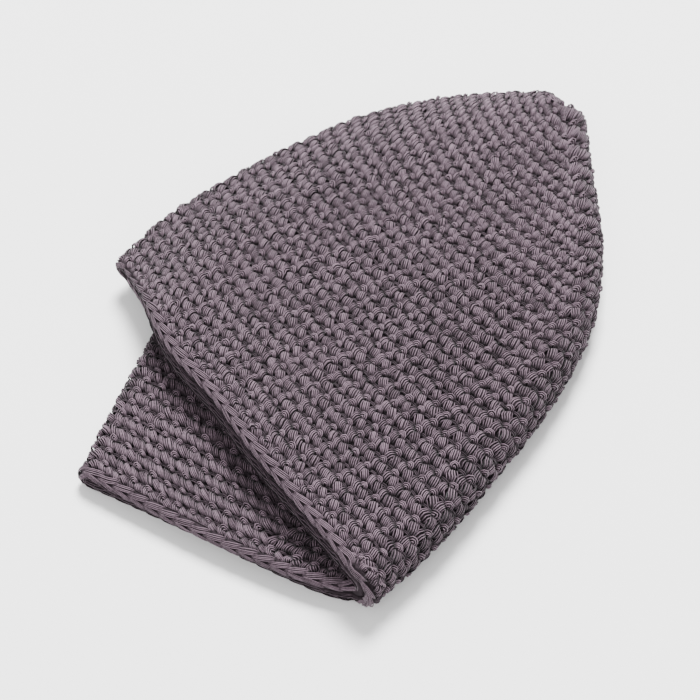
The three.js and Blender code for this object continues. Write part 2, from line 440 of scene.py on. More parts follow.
def layer_rings(fold, share, steps, ends, depth, turn=None):
    """Closed rings round both layers at one distance from the middle surface.

    The distance is half the hollow plus depth. turn, in radians, tips the rings of the crown end
    towards the crown. Returns points, outward directions and crown directions, [ring, step, 3].
    """
    points, way, gap, along = fold.section(share, steps)
    first = round_end(points, way, along, -1, -2, ends, 1)
    second = round_end(points, way, along, 0, 1, ends, -1)

    def join(outer_side, tip, inner_side, root):
        return np.concatenate([outer_side, tip, inner_side[:, ::-1], root], axis=1)

    def hold(values, row):
        return np.repeat(values[:, row, None], ends - 1, axis=1)

    at = join(points, hold(points, -1), points, hold(points, 0))
    out = join(way, first, -way, second)
    ahead = join(along, hold(along, -1), along, hold(along, 0))
    gaps = join(gap[..., None], hold(gap, -1)[..., None], gap[..., None], hold(gap, 0)[..., None])
    if turn is not None:
        cos, sin = np.cos(turn[:, None, None]), np.sin(turn[:, None, None])
        out, ahead = out * cos + ahead * sin, ahead * cos - out * sin
    return at + out * (gaps / 2 + depth), out, ahead


class Surface:
    """The cap's outer face as a map from (round, distance round the cap) to points and normals.

    Rings of the face are cut at even shares of their length, from the middle of the upper half.
    Place along the cap is counted in round heights along that middle line. A round doesn't follow
    a ring: it sags in the middle of the upper half and climbs at its free side, by lift().
    """

    STEPS = (48, 24, 72)
    ENDS = 12
    SAMPLES = 960
    STATIONS = 161
    CAP = 9

    # How far rounds stray from the rings, in rounds. Reaches that end in ROUNDS are in rounds from
    # the mouth, and the others are shares of the way to the crown or of half the way across.
    FIRST_ROUND = 0.58
    MOUTH_LIFT = -0.33
    MIDDLE_SAG = 2.6
    MIDDLE_RISE = 0.5
    FREE_SIDE_LIFT = 0.3
    FREE_SIDE_CLIMB = 2.6
    CLIMB_END = 0.68
    TIP_EASE = 1.5
    EASE_START = 0.75
    FOLD_LIFT = 0.2
    MOUTH_DIP = 0.5
    DIP_MIDDLE = 0.42
    DIP_ROUNDS = 11
    MOUTH_CURL = 0.3
    CURL_START = 0.2
    CURL_REACH = 0.7
    CURL_ROUNDS = 4
    ROOT_CROWDING = 3.6
    ROOT_ROUNDS = 12.8
    EVEN_START = 0.4
    EVEN_REACH = 0.5

    # Where the corner stitches wrap the roll at the mouth: from a share of its outer side to a little
    # past its top.
    CORNER_START = 0.22
    CORNER_PAST = 0.0005

    def __init__(self, fold, sizes, depth):
        share = np.concatenate([np.linspace(0, 1, self.STATIONS), np.ones(self.CAP)])
        turn = np.concatenate([np.zeros(self.STATIONS), end_turns(self.CAP)])
        points, out, _ = layer_rings(fold, share, self.STEPS, self.ENDS, depth, turn)
        low, roll, up = self.STEPS
        anchor = low + roll + up // 2
        points = np.roll(points, -anchor, axis=1)
        out = np.roll(out, -anchor, axis=1)
        gap = np.linalg.norm(np.roll(points, -1, axis=1) - points, axis=-1)
        run = np.concatenate([np.zeros((len(share), 1)), np.cumsum(gap, axis=1)], axis=1)
        self.girth = run[:, -1]
        lengths = {"tip": up // 2, "tip_under": self.ENDS, "fold_under": up, "front": roll, "end": low,
                   "end_under": self.ENDS, "fold": low, "fold_top": roll}
        ends = np.cumsum(list(lengths.values()))
        self.marks = {name: run[:, i] for name, i in zip(lengths, ends)}
        even = np.linspace(0, 1, self.SAMPLES, endpoint=False)
        self.grid = np.empty((len(share), self.SAMPLES, 6))
        for k in range(len(share)):
            ring = np.concatenate([points[k], out[k]], axis=1)
            ring = np.concatenate([ring, ring[:1]])
            for axis in range(6):
                self.grid[k, :, axis] = np.interp(even * self.girth[k], run[k], ring[:, axis])
        self.shift = np.zeros(3)
        climbed = np.cumsum(np.linalg.norm(np.diff(points[:, 0], axis=0), axis=-1))
        climbed = np.concatenate([[0], climbed])
        self.rounds = (climbed - sizes.edging / 2) / sizes.round_height
        self.count = int(self.rounds[-1])

    def station(self, number):
        """Ring index, as a fraction, of a place along the cap, running on before the mouth."""
        before = np.minimum(number - self.rounds[0], 0) / (self.rounds[1] - self.rounds[0])
        return np.interp(number, self.rounds, np.arange(len(self.rounds))) + before

    def at_station(self, values, station):
        """Values kept by ring, read at a fractional ring index."""
        return np.interp(station, np.arange(len(values)), values)

    def corner_span(self):
        """Where the corner stitches wrap the fold at the mouth: most of the roll's outer side."""
        fold, top = self.marks["fold"][0], self.marks["fold_top"][0]
        return fold + self.CORNER_START * (top - fold), top + self.CORNER_PAST

    def root_share(self, station, distance):
        """0 on the upper half, growing to 1 at the lower half's outer end, on both layers."""
        girth = self.at_station(self.girth, station)
        d = np.mod(distance, girth)
        start, end = (self.at_station(self.marks[k], station) for k in ("front", "end"))
        back, near = (self.at_station(self.marks[k], station) for k in ("end_under", "fold"))
        up = (d - start) / (end - start)
        down = (near - d) / (near - back)
        return np.clip(np.minimum(np.where(d < start, 0, up), np.where(d > near, 0, down)), 0, 1)

    def cross_share(self, station, distance):
        """-1 at the fold, 0 in the middle and 1 at the free side of the upper half, on both layers."""
        girth = self.at_station(self.girth, station)
        d = np.mod(distance, girth)
        tip, back, fold, top = (self.at_station(self.marks[k], station)
                                for k in ("tip", "tip_under", "fold_under", "fold_top"))
        outer = np.where(d > top, (d - girth) / (girth - top), np.minimum(d / tip, 1))
        inner = 1 - 2 * np.clip((d - back) / (fold - back), 0, 1)
        return np.where((d < back) | (d > top), outer, inner)

    def lift(self, place, x, root):
        """How many rounds a round lies beyond the ring at its place, towards the crown.

        Across the upper half this is the parabola through its values at the fold, in the middle
        and at the free side, with a dip and a curl at the mouth that fade out over a few rounds.
        On the lower half it runs straight from the fold's value to its own.
        """
        u = np.clip(place / self.rounds[-1 - self.CAP], 0, 1)
        middle = self.MOUTH_LIFT - self.MIDDLE_SAG * u * (1 - u) + self.MIDDLE_RISE * u**3
        climb = self.FREE_SIDE_CLIMB * np.minimum(u / self.CLIMB_END, 1) ** 2
        ease = self.TIP_EASE * smooth((u - self.EASE_START) / (1 - self.EASE_START))
        free = self.FREE_SIDE_LIFT + climb - ease
        upper = middle + (free - self.FOLD_LIFT) / 2 * x + ((free + self.FOLD_LIFT) / 2 - middle) * x**2
        dip = np.cos(np.pi / 2 * np.clip((x - self.DIP_MIDDLE) / self.DIP_MIDDLE, -1, 1)) ** 2
        upper = upper - self.MOUTH_DIP * dip * (1 - smooth(place / self.DIP_ROUNDS))
        curl = smooth((-x - self.CURL_START) / self.CURL_REACH)
        upper = upper + self.MOUTH_CURL * curl * (1 - smooth(place / self.CURL_ROUNDS))
        crowded = self.ROOT_CROWDING * (1 - np.exp(-np.maximum(place, 0) / self.ROOT_ROUNDS))
        lower = self.MOUTH_LIFT - crowded * (1 - smooth((u - self.EVEN_START) / self.EVEN_REACH))
        return upper * (1 - root) + lower * root

    def place_of(self, number, distance):
        """Place along the cap of a round's number, by repeated correction, and its own ring index."""
        own = self.station(number + self.FIRST_ROUND + self.lift(number, 0.0, 0.0))
        x = self.cross_share(own, distance)
        root = self.root_share(own, distance)
        place = number + self.FIRST_ROUND
        for _ in range(5):
            place = number + self.FIRST_ROUND + self.lift(place, x, root)
        return place, own

    def look_up(self, number, distance):
        """Points and unit normals at a round's number and a distance round the cap.

        The distance is kept as a share of the whole way round. Between grid points both are
        bilinear.
        """
        place, first = self.place_of(number, distance)
        station = self.station(place)
        f = np.mod(distance / self.at_station(self.girth, first), 1.0) * self.SAMPLES
        i = np.clip(np.floor(station).astype(int), 0, len(self.rounds) - 2)
        u = np.minimum(station - i, 1)[..., None]
        j = f.astype(int) % self.SAMPLES
        k = (j + 1) % self.SAMPLES
        v = (f - np.floor(f))[..., None]
        g = self.grid
        low = g[i, j] * (1 - v) + g[i, k] * v
        high = g[i + 1, j] * (1 - v) + g[i + 1, k] * v
        found = low * (1 - u) + high * u
        return found[..., :3] + self.shift, unit(found[..., 3:])


def make_mesh(name, points, triangles, corner_uv=None, tone=None):
    """A smooth-shaded mesh object from arrays, with a UV per corner and a tone per vertex."""
    mesh = bpy.data.meshes.new(name)
    mesh.vertices.add(len(points))
    mesh.vertices.foreach_set("co", points.astype(np.float32).ravel())
    mesh.loops.add(triangles.size)
    mesh.loops.foreach_set("vertex_index", triangles.astype(np.int32).ravel())
    mesh.polygons.add(len(triangles))
    mesh.polygons.foreach_set("loop_start", np.arange(0, triangles.size, 3, dtype=np.int32))
    mesh.polygons.foreach_set("use_smooth", np.ones(len(triangles), dtype=bool))
    if corner_uv is not None:
        layer = mesh.uv_layers.new(name="UVMap")
        layer.data.foreach_set("uv", corner_uv.astype(np.float32).ravel())
    if tone is not None:
        attribute = mesh.attributes.new("tone", "FLOAT", "POINT")
        attribute.data.foreach_set("value", tone.astype(np.float32))
    mesh.update(calc_edges=True)
    obj = bpy.data.objects.new(name, mesh)
    bpy.context.scene.collection.objects.link(obj)
    return obj


def strands(points, normals, radius, shade, sides):
    """Closed round strands along many paths at once.

    points and normals are [strand, step, 3], radius and shade [strand, step]. A ring of each step
    is the point plus radius times (cos a side + sin a up), side being square to the path and the
    normal. The first and last steps are single points, so each strand is closed by a cone at both
    ends. Returns vertices, triangles, a UV for each corner, which is metres along and the share of
    the way round, and a tone for each vertex.
    """
    count, steps = points.shape[:2]
    tangent = unit(np.gradient(points, axis=1))
    side = unit(np.cross(tangent, normals))
    up = np.cross(side, tangent)
    angle = 2 * np.pi * np.arange(sides) / sides + np.pi / 4
    ring = (side[:, 1:-1, None] * np.cos(angle)[:, None] + up[:, 1:-1, None] * np.sin(angle)[:, None])
    body = points[:, 1:-1, None] + ring * radius[:, 1:-1, None, None]
    rings = steps - 2
    per = rings * sides + 2
    vertices = np.concatenate([points[:, :1], body.reshape(count, -1, 3), points[:, -1:]], axis=1)

    def corner(step, k):
        return 1 + (step - 1) * sides + k % sides

    faces = []
    spots = []
    for k in range(sides):
        faces.append((0, corner(1, k + 1), corner(1, k)))
        spots.append(((0, k + 0.5), (1, k + 1), (1, k)))
        for step in range(1, rings):
            here, right = corner(step, k), corner(step, k + 1)
            ahead, across = corner(step + 1, k), corner(step + 1, k + 1)
            faces += [(here, right, across), (here, across, ahead)]
            spots.append(((step, k), (step, k + 1), (step + 1, k + 1)))
            spots.append(((step, k), (step + 1, k + 1), (step + 1, k)))
        faces.append((per - 1, corner(rings, k), corner(rings, k + 1)))
        spots.append(((rings + 1, k + 0.5), (rings, k), (rings, k + 1)))
    faces = np.array(faces)
    spots = np.array(spots, float)
    triangles = faces[None] + (np.arange(count) * per)[:, None, None]
    gone = np.cumsum(np.linalg.norm(np.diff(points, axis=1), axis=-1), axis=1)
    run = np.concatenate([np.zeros((count, 1)), gone], axis=1)
    along = run[:, spots[..., 0].astype(int)]
    around = np.broadcast_to(spots[..., 1] / sides, along.shape)
    uv = np.stack([along, around], axis=-1)
    body_tone = np.repeat(shade[:, 1:-1], sides, axis=1)
    tone = np.concatenate([shade[:, :1], body_tone, shade[:, -1:]], axis=1)
    return vertices.reshape(-1, 3), triangles.reshape(-1, 3), uv.reshape(-1, 2), tone.ravel()


def curve_through(knots, steps):
    """A Catmull-Rom curve through knots, [..., knot, value], read at even steps."""
    count = knots.shape[-2]
    t = np.linspace(0, count - 1, steps)
    i = np.clip(t.astype(int), 0, count - 2)
    u = (t - i)[:, None]
    before = knots[..., np.clip(i - 1, 0, count - 1), :]
    here = knots[..., i, :]
    there = knots[..., i + 1, :]
    after = knots[..., np.clip(i + 2, 0, count - 1), :]
    return 0.5 * (2 * here + (there - before) * u + (2 * before - 5 * here + 4 * there - after) * u**2
                  + (3 * here - before - 3 * there + after) * u**3)


def bundle(knots, plies, steps, sizes, rng, twist, fall):
    """The plies of one yarn course for many stitches at once.

    knots is [stitch, knot, 4]. A ply keeps a place o from -1 to 1 across the bundle, drifting by
    twist along it; it is moved square to the course by o times the half width, and sinks by
    fall times o squared. Returns [stitch, ply, step, 3]: across, up and over, in metres.
    """
    course = curve_through(knots, steps)
    flat = course[..., :2] * (sizes.stitch_width, sizes.round_height)
    height = course[..., 2] * sizes.relief
    half = course[..., 3] * sizes.stitch_width
    run = unit(np.gradient(flat, axis=1))
    square = np.stack([-run[..., 1], run[..., 0]], axis=-1)
    count = len(knots)
    place = np.linspace(-1, 1, plies) if plies > 1 else np.zeros(1)
    o = place[None, :, None] + rng.normal(0, PLY_SPREAD, (count, plies, 1))
    o = o + twist * (np.linspace(-0.5, 0.5, steps) + rng.normal(0, PLY_SPREAD, (count, plies, 1)))
    stray = rng.normal(0, HEIGHT_SPREAD, (count, plies, 1)) * sizes.relief
    over = height[:, None] * (1 - fall * o**2) + stray
    across = flat[:, None] + square[:, None] * (o * half[:, None])[..., None]
    return np.concatenate([across, over[..., None]], axis=-1)


def stitch_places(surface, sizes):
    """Round number, distance round the cap and width of every stitch.

    Each round is cut into whole stitches of about the stitch width, and its first one moves on by
    SPIRAL_DRIFT and by a parabola past BEND_ROUND, which is how a round worked in a spiral leans.
    """
    rows, places, widths = [], [], []
    for number in range(-1, surface.count + 3):
        _, own = surface.place_of(np.array([number + 0.5]), np.zeros(1))
        girth = surface.at_station(surface.girth, own)[0]
        narrow = sizes.stitch_width * (1 - NARROWING * smooth((number - NARROW_FROM) / NARROW_ROUNDS))
        count = max(int(round(girth / narrow)), 3)
        width = girth / count
        drift = SPIRAL_DRIFT * number + SPIRAL_BEND * max(number - BEND_ROUND, 0) ** 2
        first = -(drift % 1.0) - count // 2
        rows.append(np.full(count, number))
        places.append((first + np.arange(count)) * width)
        widths.append(np.full(count, width))
    rows, places, widths = np.concatenate(rows), np.concatenate(places), np.concatenate(widths)
    place, _ = surface.place_of(rows + 0.4, places)
    kept = place < surface.rounds[-1] - END_MARGIN
    return rows[kept], places[kept], widths[kept]


def lay(surface, sizes, rows, places, widths, paths, radius):
    """Carries paths in a stitch's own lengths onto the surface, [stitch, ply, step, 3].

    No strand sinks into the floor: its middle stays at least its own radius above it.
    """
    across = paths[..., 0] / sizes.stitch_width * widths[:, None, None]
    number = rows[:, None, None] + paths[..., 1] / sizes.round_height
    points, normals = surface.look_up(number, places[:, None, None] - across)
    points = points + normals * paths[..., 2:]
    points[..., 2] = np.maximum(points[..., 2], radius)
    return points, normals


def vary(knots, count, rng, spread, turn):
    """A copy of the knots for each stitch, turned and pushed about, and wider or narrower.

    turn is the spread of the turns in radians, about the middle of the knots.
    """
    out = np.repeat(knots[None], count, axis=0)
    middle = knots[:, :2].mean(axis=0)
    angle = rng.normal(0, turn, (count, 1))
    flat = out[..., :2] - middle
    out[..., 0] = middle[0] + flat[..., 0] * np.cos(angle) - flat[..., 1] * np.sin(angle)
    out[..., 1] = middle[1] + flat[..., 0] * np.sin(angle) + flat[..., 1] * np.cos(angle)
    out[..., :2] += rng.normal(0, spread, (count, 1, 2)) + rng.normal(0, spread * 0.6, out[..., :2].shape)
    out[..., 2] *= rng.normal(1, SIZE_SPREAD, (count, 1))
    out[..., 3] *= rng.normal(1, SIZE_SPREAD, (count, 1))
    return out


def crochet(name, surface, sizes, rows, places, widths, detail, seed):
    """One mesh of many stitches, ply by ply: two legs, a knuckle and a link each.

    A ply's tone is painted shade, the square of its height as a share of the relief, times its own
    lightness.
    """
    rng = np.random.default_rng(seed)
    count = len(rows)
    parts = []
    for knots, kind, twist, fall, turn in COURSES:
        plies = detail[kind]
        own = vary(knots, count, rng, KNOT_SPREAD, turn)
        steps = detail["steps"] if knots is not LINK else LINK_STEPS
        own[rows < 0, :, 1] = 1 - (1 - own[rows < 0, :, 1]) * LAST_ROW_SQUEEZE
        paths = bundle(own, plies, steps, sizes, rng, twist, fall)
        radius = np.full(paths.shape[:-1], sizes.ply * detail["thick"])
        radius = radius * rng.normal(1, PLY_SPREAD, (count, plies, 1))
        lightness = rng.normal(1, SHADE_SPREAD, (count, plies, 1))
        # Painted shade: a ply is darker the lower it lies in the stitch.
        shade = np.clip(paths[..., 2] / sizes.relief, 0, 1.1) ** 2 * lightness
        if detail["core"] and kind in ("leg", "shoulder"):
            course = bundle(own, 1, steps, sizes, rng, 0.0, 0.0)
            half = curve_through(own[:, None], steps)[..., 3] * sizes.stitch_width * CORE_WIDTH
            course[..., 2] -= half + sizes.ply * CORE_SINK
            paths = np.concatenate([paths, course], axis=1)
            radius = np.concatenate([radius, half], axis=1)
            # Painted shade: the core is much darker than the plies over it.
            shade = np.concatenate([shade, shade[:, :1] * CORE_SHADE], axis=1)
        points, normals = lay(surface, sizes, rows, places, widths, paths, radius)
        shape = (-1, steps)
        parts.append(strands(points.reshape(*shape, 3), normals.reshape(*shape, 3),
                             radius.reshape(shape), shade.reshape(shape), detail["sides"]))
    return join_parts(name, parts)


def join_parts(name, parts):
    """One mesh object from several sets of vertices, triangles, UVs and tones."""
    offsets = np.cumsum([0] + [len(p[0]) for p in parts[:-1]])
    vertices = np.concatenate([p[0] for p in parts])
    triangles = np.concatenate([p[1] + o for p, o in zip(parts, offsets)])
    uv = np.concatenate([p[2] for p in parts])
    tone = np.concatenate([p[3] for p in parts])
    return make_mesh(name, vertices, triangles, uv, tone)


class Shader:
    """A material's node tree."""

    def __init__(self, name):
        self.material = bpy.data.materials.new(name)
        self.material.use_nodes = True
        self.tree = self.material.node_tree
        self.tree.nodes.clear()

    def node(self, kind, settings=None, inputs=None):
        """Adds a node: its settings first, then the values or links of its sockets."""
        made = self.tree.nodes.new(kind)
        for key, value in (settings or {}).items():
            setattr(made, key, value)
        for key, value in (inputs or {}).items():
            if isinstance(value, Socket):
                self.tree.links.new(value.socket, made.inputs[key])
            else:
                made.inputs[key].default_value = value
        return made

    def out(self, made, name):
        """One output of a node, ready for sums."""
        return Socket(self, made.outputs[name])

    def noise(self, vector, scale, detail=2.0):
        """Soft noise, from 0 to 1."""
        inputs = {"Vector": vector, "Scale": scale, "Detail": detail}
        return self.out(self.node("ShaderNodeTexNoise", inputs=inputs), "Fac")

    def finish(self, inputs):
        """The surface itself, from its inputs, and the material that it makes."""
        surface = self.out(self.node("ShaderNodeBsdfPrincipled", inputs=inputs), "BSDF")
        self.node("ShaderNodeOutputMaterial", inputs={"Surface": surface})
        return self.material

    def mix(self, factor, a, b):
        """Colours a and b blended by a factor."""
        made = self.node("ShaderNodeMix", {"data_type": "RGBA"}, {0: factor, 6: a, 7: b})
        return Socket(self, made.outputs[2])


class Socket:
    """A shader output that Python's sums work on: each adds a Math node."""

    def __init__(self, shader, socket):
        self.shader = shader
        self.socket = socket

    def sums(self, operation, *values):
        """One Math node on values or outputs."""
        made = self.shader.node("ShaderNodeMath", {"operation": operation}, dict(enumerate(values)))
        return Socket(self.shader, made.outputs[0])

    def math(self, operation, *others):
        """Any other operation of a Math node, this output being its first value."""
        return self.sums(operation, self, *others)

    def __add__(self, other):
        return self.sums("ADD", self, other)

    def __radd__(self, other):
        return self.sums("ADD", other, self)

    def __sub__(self, other):
        return self.sums("SUBTRACT", self, other)

    def __rsub__(self, other):
        return self.sums("SUBTRACT", other, self)

    def __mul__(self, other):
        return self.sums("MULTIPLY", self, other)

    def __rmul__(self, other):
        return self.sums("MULTIPLY", other, self)

    def clamp(self):
        """Kept between 0 and 1."""
        return self.math("MAXIMUM", 0.0).math("MINIMUM", 1.0)


def rgba(colour, scale=1.0):
    """A colour property as four numbers, scaled."""
    return (*(min(c * scale, 1.0) for c in colour), 1.0)


def yarn_material(name, colours):
    """Matt cotton yarn with painted shade: lighter on top of a stitch, dark deep inside it and between
    its plies, with fibres along each ply.

    The tone attribute gives painted shade by the height within the stitch, times the ply's own
    lightness. Soft noise over the cap varies the colour, and stretched noise on the UV map makes the
    fibres.
    """
    s = Shader(name)
    tone = s.out(s.node("ShaderNodeAttribute", {"attribute_name": "tone"}), "Fac")
    coordinates = s.node("ShaderNodeTexCoord")
    place = s.out(coordinates, "Object")
    uv = s.out(coordinates, "UV")
    cloud = s.noise(place, 60.0)
    speck = s.noise(place, 1500.0)
    stretch = s.node("ShaderNodeMapping", inputs={"Vector": uv, "Scale": (900.0, 14.0, 1.0)})
    fibre = s.noise(s.out(stretch, "Vector"), 1.0)
    round_ply = s.out(s.node("ShaderNodeSeparateXYZ", inputs={"Vector": uv}), "Y")
    from_top = (round_ply - PLY_TOP).math("ABSOLUTE")
    from_top = from_top.math("MINIMUM", 1.0 - from_top)
    # Painted shade: each ply darkens from the top of its UV map towards its sides.
    ply_side_shade = 1.0 - 0.96 * ((from_top - 0.03) * 10.0).clamp()
    grain = 0.98 + 2.9 * (fibre - 0.5) + 1.1 * (speck - 0.5)
    light = tone * ply_side_shade * grain + (cloud - 0.5) * 0.14
    base = s.mix(light.clamp(), rgba(colours.yarn_shade), rgba(colours.yarn))
    bump = s.node("ShaderNodeBump", inputs={"Height": fibre, "Strength": 0.5, "Distance": 0.0001})
    return s.finish({"Base Color": base, "Roughness": 0.95, "Normal": s.out(bump, "Normal"),
                     "Sheen Weight": 0.10, "Sheen Roughness": 0.5, "Specular IOR Level": 0.12})


def wall_material(name, colours):
    """The inner wall: the same cotton in shade, with the rounds' ridges as relief on the UV map."""
    s = Shader(name)
    coordinates = s.node("ShaderNodeTexCoord")
    uv = s.out(coordinates, "UV")
    place = s.out(coordinates, "Object")
    waves = {"Vector": uv, "Scale": 10.0, "Distortion": 1.5, "Detail Scale": 3.0}
    ridges = s.out(s.node("ShaderNodeTexWave", {"bands_direction": "Y"}, waves), "Fac")
    speck = s.noise(place, 900.0, 3.0)
    light = (0.25 * ridges + 0.5 * speck).clamp()
    base = s.mix(light, rgba(colours.yarn_shade, 0.5), rgba(colours.yarn, 0.25))
    bump = s.node("ShaderNodeBump", inputs={"Height": ridges + speck, "Strength": 0.6, "Distance": 0.0006})
    return s.finish({"Base Color": base, "Roughness": 0.97, "Normal": s.out(bump, "Normal"),
                     "Specular IOR Level": 0.15})


def floor_material(name, colour):
    """A plain pale floor with a faint grain."""
    s = Shader(name)
    grain = s.noise(s.out(s.node("ShaderNodeTexCoord"), "Object"), 40.0)
    return s.finish({"Base Color": s.mix(grain, rgba(colour, 0.985), rgba(colour)), "Roughness": 0.9})


def finish_piece(piece, material, node=None):
    """Gives a piece its material and its body, and hides the solid that it stands for, if one is named."""
    piece.data.materials.append(material)
    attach(piece, "root")
    if node:
        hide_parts(node)


def shift_to_frame(fold, sizes):
    """How far the sections' own frame lies from the solids' frame: the far corners of both boxes."""
    stations, turns = 120, 8
    share = np.concatenate([np.linspace(0, 1, stations), np.ones(turns)])
    turn = np.concatenate([np.zeros(stations), end_turns(turns)])
    points, _, _ = layer_rings(fold, share, Surface.STEPS, Surface.ENDS, sizes.wall, turn)
    low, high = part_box(WALL_NODE)
    return np.array([low[0] - points[..., 0].min(), high[1] - points[..., 1].max(), 0.0])


def ring_mesh(rings):
    """Vertices, triangles and UVs of closed rings joined one after another."""
    count, size = rings.shape[:2]
    r, i = np.meshgrid(np.arange(count - 1), np.arange(size), indexing="ij")
    j = (i + 1) % size
    here, right = r * size + i, r * size + j
    ahead, across = here + size, right + size
    triangles = np.stack([np.stack([here, right, across], -1), np.stack([here, across, ahead], -1)], axis=2)
    u = np.stack([i, i + 1, i + 1, i, i + 1, i], -1) / size
    v = np.stack([r, r, r + 1, r, r + 1, r + 1], -1) / count
    return rings.reshape(-1, 3), triangles.reshape(-1, 3), np.stack([u, v], -1).reshape(-1, 2)


def weld(piece):
    """Merges points that coincide, drops the faces that vanish and turns all faces outwards."""
    work = bmesh.new()
    work.from_mesh(piece.data)
    bmesh.ops.remove_doubles(work, verts=work.verts, dist=1e-6)
    bmesh.ops.dissolve_degenerate(work, dist=1e-7, edges=work.edges)
    bmesh.ops.recalc_face_normals(work, faces=work.faces)
    work.to_mesh(piece.data)
    work.free()


class CapState:
    """What the operators share: the folded surface and its place in the frame."""

    shift = np.zeros(3)
    surface = None


class KUFI_OT_wall(bpy.types.Operator):
    """Makes the inner wall, a closed folded bag just under the stitches"""

    bl_idname = "kufi.wall"
    bl_label = "Inner wall"

    def execute(self, context):
        sizes = context.scene.cap_sizes
        fold = Fold(sizes)
        steps, ends, stations, turns = (22, 10, 34), 6, 60, 4
        cap, turn = np.ones(turns), end_turns(turns)
        depth = sizes.wall - sizes.relief * WALL_DROP
        start = WALL_START * sizes.edging / sizes.folded_length
        share = start + np.linspace(0, 1, stations) * (1 - start)
        outside, _, _ = layer_rings(fold, share, steps, ends, depth)
        tip, _, _ = layer_rings(fold, cap, steps, ends, depth, turn)
        inside, _, _ = layer_rings(fold, share, steps, ends, 0.0)
        close, _, _ = layer_rings(fold, cap[:1], steps, ends, 0.0, turn[-1:])
        rings = np.concatenate([close, inside[::-1], outside, tip]) + CapState.shift
        piece = make_mesh("cap_inner_wall", *ring_mesh(rings))
        weld(piece)
        material = wall_material("inner_wall_cotton", context.scene.cap_colours)
        finish_piece(piece, material, WALL_NODE)
        return {"FINISHED"}


def sort_stitches(surface, rows, places):
    """Which stitches lie on top, which others show in front, and which are hidden.

    On top are those from the fold over the upper half to just past its free end. In front are those
    on the lower half's upper face, as far back as the upper half's rim. Deep in the slot between
    the halves nothing shows, so the stitches there, past the first rounds, are in none of the three.
    """
    points, _ = surface.look_up(rows + 0.5, places)
    place, own = surface.place_of(rows + 0.5, places)
    station = surface.station(place)
    marks = {k: surface.at_station(v, station) for k, v in surface.marks.items()}
    turn = np.mod(places / surface.at_station(surface.girth, own), 1.0)
    d = turn * surface.at_station(surface.girth, station)
    rim = np.min(surface.look_up(np.zeros(8), np.linspace(0, 0.05, 8))[0][:, 1])
    top = (d < marks["tip_under"] + TOP_PAST) | (d > marks["fold"])
    front = (d >= marks["front"] - FRONT_BEFORE) & (d < marks["end_under"] + FRONT_PAST)
    front = front & (points[:, 1] < rim + RIM_PAST) & ~top
    slot = (d > marks["tip_under"] + SLOT_START) & (d < marks["end"] - SLOT_END) & (rows > SLOT_ROUND)
    return top, front, ~top & ~front & ~slot


def crown_end(surface, sizes):
    """The tight last loops that close the crown: strands round the folded end, each further over it."""
    rng = np.random.default_rng(11)
    turn = np.linspace(*LOOP_TURNS, CROWN_LOOPS) * np.pi / 2
    depth = sizes.wall - sizes.relief * LOOP_DROP
    rings, out, ahead = layer_rings(Fold(sizes), np.ones(CROWN_LOOPS), (24, 12, 36), 8, depth, turn)
    wave = np.sin(np.arange(rings.shape[1]) * 0.9 + 2 * np.pi * rng.uniform(0, 1, (CROWN_LOOPS, 1)))
    rings = rings + surface.shift + ahead * (LOOP_SWAY * wave)[..., None]
    rings[..., 2] = np.maximum(rings[..., 2], sizes.ply * LOOP_THICKNESS)
    rings = np.concatenate([rings, rings[:, :1]], axis=1)
    out = np.concatenate([out, out[:, :1]], axis=1)
    thick = np.full(rings.shape[:2], sizes.ply * LOOP_THICKNESS)
    shade = LOOP_SHADE * np.repeat(rng.normal(1, 0.12, (CROWN_LOOPS, 1)), rings.shape[1], axis=1)
    return join_parts("crown_end", [strands(rings, out, thick, shade, 4)])


class KUFI_OT_rounds(bpy.types.Operator):
    """Lays the rounds of single crochet on the folded surface"""

    bl_idname = "kufi.rounds"
    bl_label = "Rounds of crochet"

    def execute(self, context):
        sizes = context.scene.cap_sizes
        surface = CapState.surface
        material = yarn_material("crochet_yarn", context.scene.cap_colours)
        rows, places, widths = stitch_places(surface, sizes)
        top, front, plain = sort_stitches(surface, rows, places)
        groups = (("upper_rounds", top, 4, FINE, 100), ("front_rounds", front, 1, FINE, 200),
                  ("under_rounds", plain, 2, PLAIN, 300))
        for group, mask, count, detail, seed in groups:
            for k, chosen in enumerate(np.array_split(np.flatnonzero(mask), count)):
                name = f"{group}_{k + 1}" if count > 1 else group
                piece = crochet(name, surface, sizes, rows[chosen], places[chosen], widths[chosen],
                                detail, seed + k)
                finish_piece(piece, material)
        finish_piece(crown_end(surface, sizes), material)
        begin, stop = surface.corner_span()
        places = np.linspace(begin - 0.002, stop + 0.001, CORNER_STITCHES)
        rows = np.full(CORNER_STITCHES, CORNER_ROUND)
        widths = np.full(CORNER_STITCHES, places[1] - places[0])
        piece = crochet("corner_stitches", surface, sizes, rows, places, widths, FINE, 400)
        finish_piece(piece, material)
        return {"FINISHED"}


